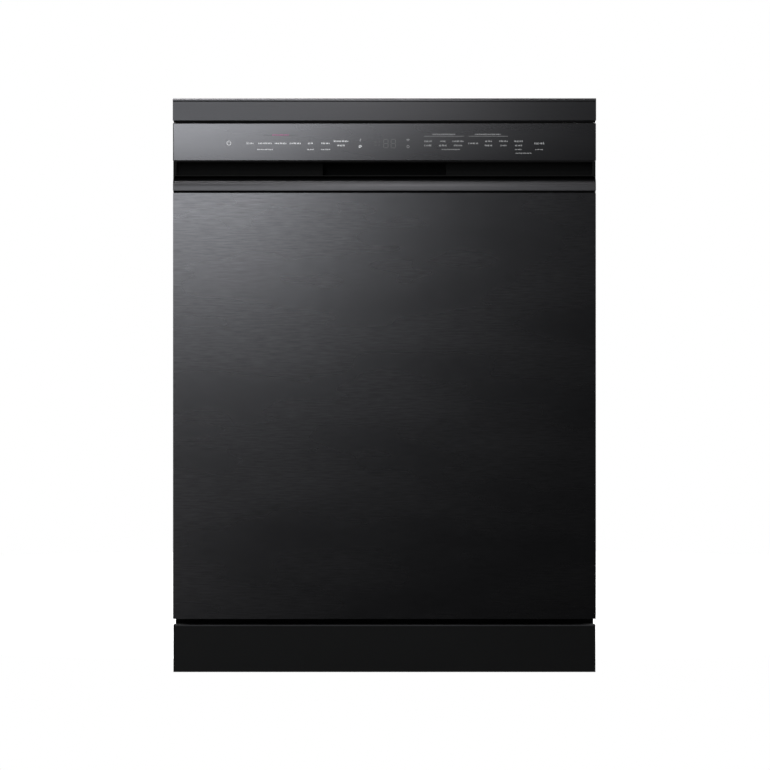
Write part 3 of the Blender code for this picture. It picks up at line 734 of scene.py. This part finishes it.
def make_liner_details():
    """Pressed frames, screws and a vent on the door's inner side."""
    low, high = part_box("door_inner_panel")
    face = high.y
    middle = (low.z + high.z) / 2
    pressed = bmesh.new()
    add_frame(pressed, facing(0, face - 0.0002, middle, "Y"), 0.500, 0.590, 0.045, 0.014, 0.0024)
    add_pad(pressed, facing(0, face - 0.0002, 0.635, "Y"), 0.360, 0.110, 0.020, 0.008, 0.0020)
    add_pad(pressed, facing(0, face - 0.0002, 0.212, "Y"), 0.400, 0.110, 0.020, 0.008, 0.0020)
    link_mesh("liner_pressings", pressed, "stainless", "door")
    screws = bmesh.new()
    for x in (-0.284, 0.284):
        for z in spread(low.z + 0.060, high.z - 0.030, 6):
            add_screw(screws, x, face, z, "Y")
    link_mesh("liner_screws", screws, "zinc", "door")
    vent = bmesh.new()
    ring = [(0.0001, 0.0006), (0.020, 0.0006), (0.022, 0.0026), (0.026, 0.0026), (0.028, 0.0)]
    add_turned(vent, (VENT_X, face, VENT_Z), ring, "Y", 48)
    for dz in spread(-0.014, 0.014, 6):
        reach = math.sqrt(0.0205**2 - dz**2)
        z = VENT_Z + dz
        add_box(vent, (VENT_X - reach, face, z - 0.0012), (VENT_X + reach, face + 0.0022, z + 0.0012))
    link_mesh("liner_vent", vent, "grey", "door")


def make_dispenser_details():
    """The lid's thumb rest and rim, the rinse aid cap's ribs and the release button."""
    low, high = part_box("dispenser_body")
    middle = (low + high) / 2
    size = high - low
    face = high.y
    trim = bmesh.new()
    place = facing(middle.x, face - 0.0001, middle.z, "Y")
    add_frame(trim, place, size.x - 0.004, size.z - 0.004, 0.010, 0.0030, 0.0003)
    for z in (0.310, 0.316, 0.322, 0.328):
        add_box(trim, (0.020, face - 0.0002, z), (0.070, face + 0.0006, z + 0.0022))
    link_mesh("dispenser_trim", trim, "dark", "door")
    lid_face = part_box("detergent_lid")[1].y - 0.0017
    lid = bmesh.new()
    add_frame(lid, facing(-0.050, lid_face, 0.431, "Y"), 0.084, 0.082, 0.006, 0.0022, 0.0007)
    for z in (0.404, 0.410, 0.416):
        add_box(lid, (-0.068, lid_face - 0.0001, z), (-0.032, lid_face + 0.0010, z + 0.0020))
    link_mesh("detergent_lid_ribs", lid, "light", "detergent_lid")
    low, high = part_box("rinse_aid_cap")
    cap = bmesh.new()
    radius = (high.x - low.x) / 2
    for turn in range(32):
        start, end = (radius - 0.0016, low.y + 0.0004, -0.0008), (radius + 0.0003, low.y + 0.0030, 0.0008)
        add_rib(cap, start, end, math.tau * turn / 32, "Y", (CAP_X, 0, CAP_Z))
    link_mesh("rinse_aid_cap_ribs", cap, "light", "rinse_aid_cap", smooth=0)
    button = bmesh.new()
    dome = [(0.0001, 0.0022), (0.007, 0.0020), (0.0085, 0.0010), (0.0090, 0.0)]
    add_turned(button, (CAP_X, face - 0.0002, BUTTON_Z), dome, "Y", 32)
    link_mesh("dispenser_release", button, "light", "door")


# -------------------- tub


def make_tub_details():
    """Pressed ridges on the tub's walls, the front frame's screws and the clips of the rails."""
    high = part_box("tub")[1]
    wall = 0.0012
    ridges = bmesh.new()
    for _, sign in SIDES:
        x = sign * (high.x - wall - 0.0002)
        for z, height in ((0.235, 0.110), (0.400, 0.110), (0.615, 0.080)):
            add_pad(ridges, facing(x, 0.010, z, "X", -sign), 0.400, height, 0.030, 0.008, 0.0018)
    y = high.y - wall - 0.0002
    for x in (-0.140, 0.140):
        for z, height in ((0.270, 0.200), (0.590, 0.240)):
            add_pad(ridges, facing(x, y, z, "Y", -1), 0.200, height, 0.030, 0.008, 0.0018)
    link_mesh("tub_pressings", ridges, "stainless", "cabinet")
    screws = bmesh.new()
    frame_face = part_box("tub_front_frame")[0].y
    for x in (-0.2855, 0.2855):
        for z in spread(0.150, 0.740, 5):
            add_screw(screws, x, frame_face, z, "-Y", 0.0030)
    link_mesh("frame_screws", screws, "zinc", "cabinet")
    clips = bmesh.new()
    for y in (-0.215, 0.0, 0.225):
        for side, sign in SIDES:
            rail_low, rail_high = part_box(f"rack_rail_{side}")
            outer = sign * (max(abs(rail_low.x), abs(rail_high.x)) - 0.0004)
            inner = sign * (min(abs(rail_low.x), abs(rail_high.x)) + 0.0105)
            add_box(clips, (inner, y - 0.008, rail_high.z + 0.0001), (outer, y + 0.008, rail_high.z + 0.006))
            add_box(clips, (inner, y - 0.008, rail_low.z - 0.006), (outer, y + 0.008, rail_low.z - 0.0001))
    link_mesh("rail_clips", clips, "grey", "cabinet", edge=0.001)


# -------------------- front seams: painted shade in the gaps, painted highlights on edges


def make_front_seams():
    """Dark sheets behind the front's gaps as painted shade, a dark line across the cover's face below its
    top edge, the ends of the handle with painted highlight lines, and a painted highlight line along the
    kickplate's top edge.
    """
    trim_low, trim_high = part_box("handle_trim")
    door_low, door_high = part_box("door_outer_panel")
    panel_low, panel_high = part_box("control_panel")
    kick_low, kick_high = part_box("kickplate")
    cover_low, cover_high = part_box("top_cover")
    front = CAD_BOX[0].y
    half = door_high.x - 0.0008
    # A near-black sheet behind the gap under the handle trim: painted shade.
    low, high = (-half, -0.2945, door_high.z - 0.004), (half, -0.2860, trim_low.z + 0.0036)
    add_strip("door_gap_painted_shade", "pocket", "door", low, high)
    caps = bmesh.new()
    lines = bmesh.new()
    for _, sign in SIDES:
        outer, inner, edge = sign * 0.2984, sign * 0.2970, sign * 0.2962
        add_box(caps, (inner, -0.2980, door_high.z + 0.0006), (outer, -0.2795, panel_low.z - 0.0002))
        # A grey strip inside each end cap: a painted highlight on the cap's rounded edge.
        add_box(lines, (edge, -0.2976, trim_high.z - 0.0004), (inner, -0.2945, panel_low.z - 0.0012))
    link_mesh("handle_end_caps", caps, "pocket", "door")
    link_mesh("handle_end_painted_highlights", lines, "grey", "door")
    # A near-black sheet behind the gap above the kickplate: painted shade.
    low = (-0.2972, door_high.y - 0.0020, kick_high.z - 0.0080)
    high = (0.2972, door_high.y + 0.0060, door_low.z - 0.0007)
    add_strip("kick_gap_painted_shade", "pocket", "cabinet", low, high)
    # A lighter strip along the kickplate's top edge: a painted highlight.
    low = (kick_low.x + 0.0012, kick_low.y - 0.0001, kick_high.z - 0.0018)
    high = (kick_high.x - 0.0012, kick_low.y + 0.0004, kick_high.z - 0.0003)
    add_strip("kickplate_painted_highlight", "kick_painted_highlight", "cabinet", low, high)
    # A dark line across the cover's face just below its top edge.
    reach = cover_high.x - 0.0004
    low = (-reach, front - 0.0001, cover_high.z - 0.0053)
    high = (reach, front + 0.0004, cover_high.z - 0.0042)
    add_strip("cover_dark_line", "pocket", "cabinet", low, high)
    # A near-black sheet behind the gap under the cover: painted shade.
    low, high = (-half, front + 0.0030, panel_high.z + 0.0008), (half, front + 0.0100, cover_low.z + 0.0004)
    add_strip("cover_gap_painted_shade", "pocket", "cabinet", low, high)


# -------------------- cabinet outside

FITTINGS_Z = 0.060


def make_cabinet_details():
    """Pressings, screws and louvres on the sides and the back."""
    pads = bmesh.new()
    screws = bmesh.new()
    for side, sign in SIDES:
        low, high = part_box(f"side_panel_{side}")
        x = sign * (max(abs(low.x), abs(high.x)) - 0.0002)
        z = (low.z + high.z) / 2
        add_frame(pads, facing(x, 0.030, z, "X", sign), 0.440, 0.600, 0.035, 0.016, 0.0014)
        for y in (low.y + 0.020, high.y - 0.020):
            for height in (low.z + 0.014, high.z - 0.016):
                add_screw(screws, x, y, height, "X" if sign > 0 else "-X")
    link_mesh("side_pressings", pads, "paint", "cabinet")
    low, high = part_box("rear_panel")
    y = high.y - 0.0002
    pressed = bmesh.new()
    add_frame(pressed, facing(0, y, 0.440, "Y"), 0.480, 0.560, 0.030, 0.016, 0.0016)
    for x in (-0.12, 0.0, 0.12):
        add_pad(pressed, facing(x, y, 0.440, "Y"), 0.070, 0.440, 0.020, 0.010, 0.0018)
    link_mesh("rear_pressings", pressed, "zinc", "cabinet")
    for x in spread(-0.275, 0.275, 5):
        for z in (low.z + 0.012, high.z - 0.012):
            add_screw(screws, x, high.y, z, "Y")
    link_mesh("cabinet_screws", screws, "zinc", "cabinet")
    louvres = bmesh.new()
    for z in spread(0.735, 0.762, 4):
        add_box(louvres, (-0.150, high.y - 0.0006, z), (0.150, high.y + 0.0016, z + 0.0030))
    link_mesh("rear_louvres", louvres, "dark", "cabinet", edge=0.0007)


def make_back_fittings():
    """The inlet's threaded spigot, the drain stub and the mains inlet's plate, low on the back."""
    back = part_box("base_tray")[1].y
    low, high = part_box("inlet_valve")
    thread = [(0.0070, -0.002), (0.0118, -0.002)]
    for turn in range(5):
        thread += [(0.0128, turn * 0.0018), (0.0118, turn * 0.0018 + 0.0009)]
    thread += [(0.0112, 0.0105), (0.0080, 0.0105), (0.0070, 0.0)]
    fittings = bmesh.new()
    add_turned(fittings, ((low.x + high.x) / 2, high.y, FITTINGS_Z), thread, "Y", 32)
    link_mesh("inlet_thread", fittings, "light", "cabinet")
    drain = bmesh.new()
    stub = [(0.0075, -0.001), (0.0165, -0.001), (0.0165, 0.003), (0.0105, 0.003)]
    for turn in range(3):
        stub += [(0.0112, 0.005 + turn * 0.004), (0.0098, 0.0085 + turn * 0.004)]
    stub += [(0.0080, 0.0170), (0.0075, 0.0)]
    add_turned(drain, (0.150, back, FITTINGS_Z), stub, "Y", 32)
    link_mesh("drain_stub", drain, "grey", "cabinet")
    plate = bmesh.new()
    add_pad(plate, facing(0.235, back - 0.0002, FITTINGS_Z, "Y"), 0.056, 0.040, 0.004, 0.0015, 0.0030)
    sleeve = [(0.0040, 0.0), (0.0095, 0.0), (0.0088, 0.008), (0.0040, 0.008), (0.0040, 0.0)]
    add_turned(plate, (0.235, back + 0.0026, FITTINGS_Z), sleeve, "Y", 28)
    link_mesh("mains_gland", plate, "dark", "cabinet")


def make_feet_details():
    """A hexagon nut at the foot of each stem, and ribs under the base."""
    hexagon = [(0.0061, 0.0), (0.0105, 0.0), (0.0105, 0.0060), (0.0061, 0.0060), (0.0061, 0.0)]
    for node in FEET:
        low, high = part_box(node)
        middle = (low + high) / 2
        nut = bmesh.new()
        add_turned(nut, (middle.x, middle.y, 0.0090), hexagon, "Z", 6)
        link_mesh(f"{node}_nut", nut, "zinc", node, smooth=0)
    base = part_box("base_tray")[0].z
    ribs = bmesh.new()
    for x in spread(-0.20, 0.20, 6):
        add_box(ribs, (x - 0.0012, -0.190, base - 0.0035), (x + 0.0012, 0.250, base + 0.0005))
    for y in spread(-0.150, 0.210, 5):
        add_box(ribs, (-0.235, y - 0.0012, base - 0.0035), (0.235, y + 0.0012, base + 0.0005))
    link_mesh("base_ribs", ribs, "dark", "cabinet", smooth=0)


# -------------------- legends on the control panel

PANEL_LOW, PANEL_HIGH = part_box("control_panel")
INK_Y = PANEL_LOW.y - 0.00012
INK_DEPTH = 0.0002


def add_bar(mesh, x, z, width, height, slant=0.0):
    """One flat stroke, centred on x and z, standing just proud of the panel."""
    corners = []
    for side, end in ((-1, -1), (1, -1), (1, 1), (-1, 1)):
        across = x + side * width / 2 + slant * end
        corners.append(mesh.verts.new((across, INK_Y, z + end * height / 2)))
    front = mesh.faces.new(corners)
    back = bmesh.ops.extrude_face_region(mesh, geom=[front])["geom"]
    moved = [v for v in back if isinstance(v, bmesh.types.BMVert)]
    bmesh.ops.translate(mesh, vec=(0, INK_DEPTH, 0), verts=moved)


def add_arc(mesh, x, z, radius, start, end, width, steps=14):
    """A stroke along an arc, from one angle to another in degrees."""
    for step in range(steps):
        a = math.radians(start + (end - start) * step / steps)
        b = math.radians(start + (end - start) * (step + 1) / steps)
        corners = []
        for angle, r in ((a, -1), (b, -1), (b, 1), (a, 1)):
            reach = radius + r * width / 2
            corners.append(mesh.verts.new((x + reach * math.cos(angle), INK_Y, z + reach * math.sin(angle))))
        mesh.faces.new(corners)


def add_word(mesh, x, z, width, height, seed):
    """Short strokes in a row that stand for a word, and aren't letters."""
    pitch = height * 0.72
    count = max(2, round(width / pitch))
    pitch = width / count
    stroke = height * 0.15
    for i in range(count):
        left = x - width / 2 + pitch * (i + 0.5)
        kind = (i * 5 + seed * 3) % 4
        tall = height if (i + seed) % 3 == 0 else height * 0.72
        base = z - height / 2
        if kind == 0:
            add_bar(mesh, left, base + tall / 2, stroke, tall)
            add_bar(mesh, left + pitch * 0.3, base + height * 0.3, stroke, height * 0.6)
        elif kind == 1:
            add_bar(mesh, left, base + stroke / 2, pitch * 0.6, stroke)
            add_bar(mesh, left, base + height * 0.65, pitch * 0.6, stroke)
            add_bar(mesh, left - pitch * 0.25, base + height * 0.35, stroke, height * 0.7)
        elif kind == 2:
            add_bar(mesh, left, base + height * 0.36, pitch * 0.55, stroke)
            add_bar(mesh, left + pitch * 0.2, base + tall / 2, stroke, tall)
        else:
            add_bar(mesh, left - pitch * 0.18, base + height * 0.35, stroke, height * 0.7)
            add_bar(mesh, left + pitch * 0.18, base + height * 0.35, stroke, height * 0.7)
            add_bar(mesh, left, base + height * 0.66, pitch * 0.4, stroke)


def legend_piece(name, mesh, look):
    data = bpy.data.meshes.new(name)
    bmesh.ops.recalc_face_normals(mesh, faces=mesh.faces)
    mesh.to_mesh(data)
    mesh.free()
    add_piece(name, data, look, "door")


# Depths of the rows below the panel's top edge.
MAIN_ROW, FIRST_LINE, SECOND_LINE, SUB_ROW, LAST_ROW = 0.0286, 0.0256, 0.0316, 0.0374, 0.0426
HEAD_ROW, RULE_ROW, ACCENT_ROW = 0.0159, 0.0188, 0.0168
MAIN_HEIGHT, SUB_HEIGHT = 0.0027, 0.0018


def make_legends():
    """The keys' legends, the headings and the rules between them."""
    top = PANEL_HIGH.z
    bright, dim = bmesh.new(), bmesh.new()
    # Each key on the left: its place, the width of its word and of the note under it.
    left_keys = (
        (-0.1902, 0.0106, 0.0),
        (-0.1688, 0.0194, 0.0227),
        (-0.1470, 0.0170, 0.0),
        (-0.1261, 0.0156, 0.0),
        (-0.1048, 0.0078, 0.0099),
        (-0.0834, 0.0120, 0.0135),
    )
    for seed, (x, width, note) in enumerate(left_keys):
        add_word(bright, x, top - MAIN_ROW, width, MAIN_HEIGHT, seed)
        if note:
            add_word(bright, x, top - SUB_ROW, note, SUB_HEIGHT, seed + 1)
    # Each key on the right with a word over another: its place and the two widths.
    double_keys = (
        (-0.0616, 0.0212, 0.0113),
        (0.0615, 0.0106, 0.0106),
        (0.0824, 0.0085, 0.0113),
        (0.1038, 0.0156, 0.0120),
        (0.1467, 0.0099, 0.0113),
        (0.1681, 0.0120, 0.0085),
        (0.1891, 0.0127, 0.0106),
    )
    for seed, (x, upper, lower) in enumerate(double_keys):
        mesh = bright if x < 0 else dim
        add_word(mesh, x, top - FIRST_LINE, upper, MAIN_HEIGHT, seed)
        add_word(mesh, x, top - SECOND_LINE, lower, MAIN_HEIGHT, seed + 2)
    add_word(dim, 0.1254, top - MAIN_ROW, 0.0142, MAIN_HEIGHT, 3)
    add_word(dim, 0.2186, top - MAIN_ROW, 0.0142, 0.0034, 1)
    # Each note under the keys on the right: its place, its row and its width.
    notes = (
        (0.0935, SUB_ROW, 0.0255),
        (0.1891, SUB_ROW, 0.0099),
        (0.1963, LAST_ROW, 0.0227),
        (0.2186, SUB_ROW, 0.0113),
    )
    for seed, (x, depth, width) in enumerate(notes):
        add_word(dim, x, top - depth, width, SUB_HEIGHT, seed)
    for x, width, start, end in ((0.0836, 0.0326, 0.0561, 0.1123), (0.1457, 0.0368, 0.1191, 0.1741)):
        add_word(dim, x, top - HEAD_ROW, width, SUB_HEIGHT * 1.15, 2)
        add_bar(dim, (start + end) / 2, top - RULE_ROW, end - start, 0.00028)
    make_icons(bright, dim, top)
    legend_piece("legend_bright", bright, "ink")
    legend_piece("legend_dim", dim, "dim_ink")
    mark = bmesh.new()
    add_word(mark, -0.1469, top - ACCENT_ROW, 0.0240, 0.0022, 4)
    legend_piece("accent_mark", mark, "accent")
    rule = bmesh.new()
    add_bar(rule, -0.1660, top - ACCENT_ROW - 0.0006, 0.0130, 0.0004)
    add_bar(rule, -0.1290, top - ACCENT_ROW - 0.0006, 0.0110, 0.0004)
    legend_piece("accent_rules", rule, "rule_ink")


def make_icons(bright, dim, top):
    """The power sign, a small star and swirl, a signal fan and a ring."""
    power_z = top - MAIN_ROW
    add_arc(bright, -0.2197, power_z, 0.0028, 125, 415, 0.0006)
    add_bar(bright, -0.2197, power_z + 0.0024, 0.0006, 0.0032)
    star_z = top - 0.0245
    for turn in range(4):
        angle = math.radians(45 * turn)
        length = 0.0040 * abs(math.cos(angle)) + 0.0006
        add_bar(dim, -0.0341, star_z, 0.0004, length, 0.0014 * math.sin(angle))
    add_arc(bright, -0.0341, top - 0.0335, 0.0019, 0, 250, 0.0006)
    add_arc(bright, -0.0341, top - 0.0335, 0.0009, 180, 420, 0.0006)
    for ring in range(1, 4):
        add_arc(dim, 0.0333, top - 0.0262, 0.0011 * ring, 45, 135, 0.0004, 8)
    add_arc(dim, 0.0333, top - 0.0335, 0.0017, 0, 360, 0.0004)


def make_digits():
    """Two faint seven segment digits with every bar drawn, and a faint colon with dashes beside it, in ink
    with a painted glow.
    """
    mesh = bmesh.new()
    high, wide, stroke = 0.0120, 0.0062, 0.0005
    middle = PANEL_HIGH.z - 0.0292
    for x in (0.0020, 0.0125):
        for level in (-1, 0, 1):
            add_bar(mesh, x, middle + level * high / 2, wide * 0.82, stroke)
            for side in (-1, 1) if level else ():
                add_bar(mesh, x + side * wide / 2, middle + level * high / 4, stroke, high * 0.42)
    for dz in (-0.0022, 0.0022):
        add_bar(mesh, -0.0075, middle + dz, 0.0008, 0.0008)
        add_bar(mesh, -0.0125, middle + dz, 0.0030, 0.0004)
    legend_piece("display_digits", mesh, "faint_ink")


# -------------------- lights and camera


def area_light(name, place, target, size, power, colour=(1, 1, 1)):
    data = bpy.data.lights.new(name, "AREA")
    data.shape = "RECTANGLE"
    data.size, data.size_y = size
    data.energy = power
    data.color = colour
    lamp = put(name, data)
    lamp.location = place
    lamp.visible_camera = False
    lamp.rotation_euler = (Vector(target) - Vector(place)).to_track_quat("-Z", "Y").to_euler()


def make_world():
    """White to the camera, and a soft room light that is dark towards the front."""
    world = bpy.data.worlds.new("room")
    bpy.context.scene.world = world
    world.use_nodes = True
    tree = world.node_tree
    add, link = tree.nodes.new, tree.links.new
    seen = tree.nodes["Background"]
    seen.inputs["Color"].default_value = (1, 1, 1, 1)
    seen.inputs["Strength"].default_value = 1.0
    split = add("ShaderNodeSeparateXYZ")
    link(add("ShaderNodeTexCoord").outputs["Generated"], split.inputs["Vector"])
    span = add("ShaderNodeMapRange")
    span.inputs["From Min"].default_value = -1.0
    link(split.outputs["Y"], span.inputs["Value"])
    fade = add("ShaderNodeValToRGB")
    stops = fade.color_ramp.elements
    for (place, strength), stop in zip(ROOM_LIGHT, (stops[0], stops[1], stops.new(0.5), stops.new(0.6))):
        stop.position = place
        stop.color = (strength, strength, strength, 1)
    link(span.outputs["Result"], fade.inputs["Fac"])
    room = add("ShaderNodeBackground")
    link(fade.outputs["Color"], room.inputs["Color"])
    mix = add("ShaderNodeMixShader")
    link(add("ShaderNodeLightPath").outputs["Is Camera Ray"], mix.inputs["Fac"])
    link(room.outputs["Background"], mix.inputs[1])
    link(seen.outputs["Background"], mix.inputs[2])
    link(mix.outputs["Shader"], tree.nodes["World Output"].inputs["Surface"])


def make_stage():
    """A pale round floor, bright enough to merge with the white background."""
    mesh = bmesh.new()
    bmesh.ops.create_circle(mesh, cap_ends=True, segments=96, radius=FLOOR_RADIUS)
    data = bpy.data.meshes.new("floor")
    mesh.to_mesh(data)
    mesh.free()
    floor = put("floor", data)
    floor.location = (0, CAD_BOX[0].y + FLOOR_RADIUS + 0.25, -0.001)
    look = Shader("pale_floor", (0.82, 0.82, 0.82), 0.9)
    look.set("Emission Color", (1, 1, 1, 1))
    look.set("Emission Strength", 0.80)
    data.materials.append(look.material)


def make_lights():
    area_light("key", (-0.470, -2.403, 1.093), (-0.1, -0.3, 0.5), (0.60, 0.80), 5.6, (0.95, 0.985, 1.0))
    area_light("brow", (0.0, -0.75, 0.98), (0.0, -0.3, 0.69), (0.30, 0.08), 0.36)
    area_light("inside_top", (0.0, -0.02, 0.748), (0.0, -0.02, 0.0), (0.30, 0.30), 1.6)
    area_light("inside_low", (0.0, -0.05, 0.664), (0.0, -0.05, 0.0), (0.36, 0.36), 2.6)
    area_light("low_fill", (-0.9, -2.0, 0.15), (-0.2, -0.3, 0.25), (0.9, 0.6), 0.4)
    area_light("top_glow", (-0.45, -0.30, 2.4), (-0.1, 0, 0.8), (1.0, 0.8), 38)
    area_light("left_side", (-2.4, 0.6, 1.2), (0, 0, 0.4), (1.2, 1.2), 17)
    area_light("right_side", (2.4, 0.6, 1.2), (0, 0, 0.4), (1.2, 1.2), 17)


def make_camera():
    data = bpy.data.cameras.new("camera")
    data.lens = LENS
    data.sensor_width = SENSOR
    camera = put("camera", data)
    distance = VIEW_WIDTH * LENS / SENSOR
    camera.location = (EYE_X, CAD_BOX[0].y - distance, EYE_HEIGHT)
    camera.rotation_euler = (math.radians(90), 0, 0)
    data.clip_end = 100
    bpy.context.scene.camera = camera


finish_cad_nodes()
make_basket("lower_rack", (0.10, 0.45, 0.72))
make_basket("upper_rack", (0.12, 0.55))
make_wheels()
make_tine_rows()
make_rack_handles()
make_runners()
make_tray_fins()
make_spray_arm("lower_spray_arm", "stainless", 0.228, 0.044, 0.026)
make_spray_arm("upper_spray_arm", "grey", 0.218, 0.040, 0.022)
make_spray_arm("top_spray_arm", "grey", 0.118, 0.032, 0.016)
make_filter_details()
make_liner_details()
make_dispenser_details()
make_tub_details()
make_front_seams()
make_cabinet_details()
make_back_fittings()
make_feet_details()
make_legends()
make_digits()
make_world()
make_stage()
make_lights()
make_camera()
bpy.context.scene.view_settings.view_transform = "Standard"
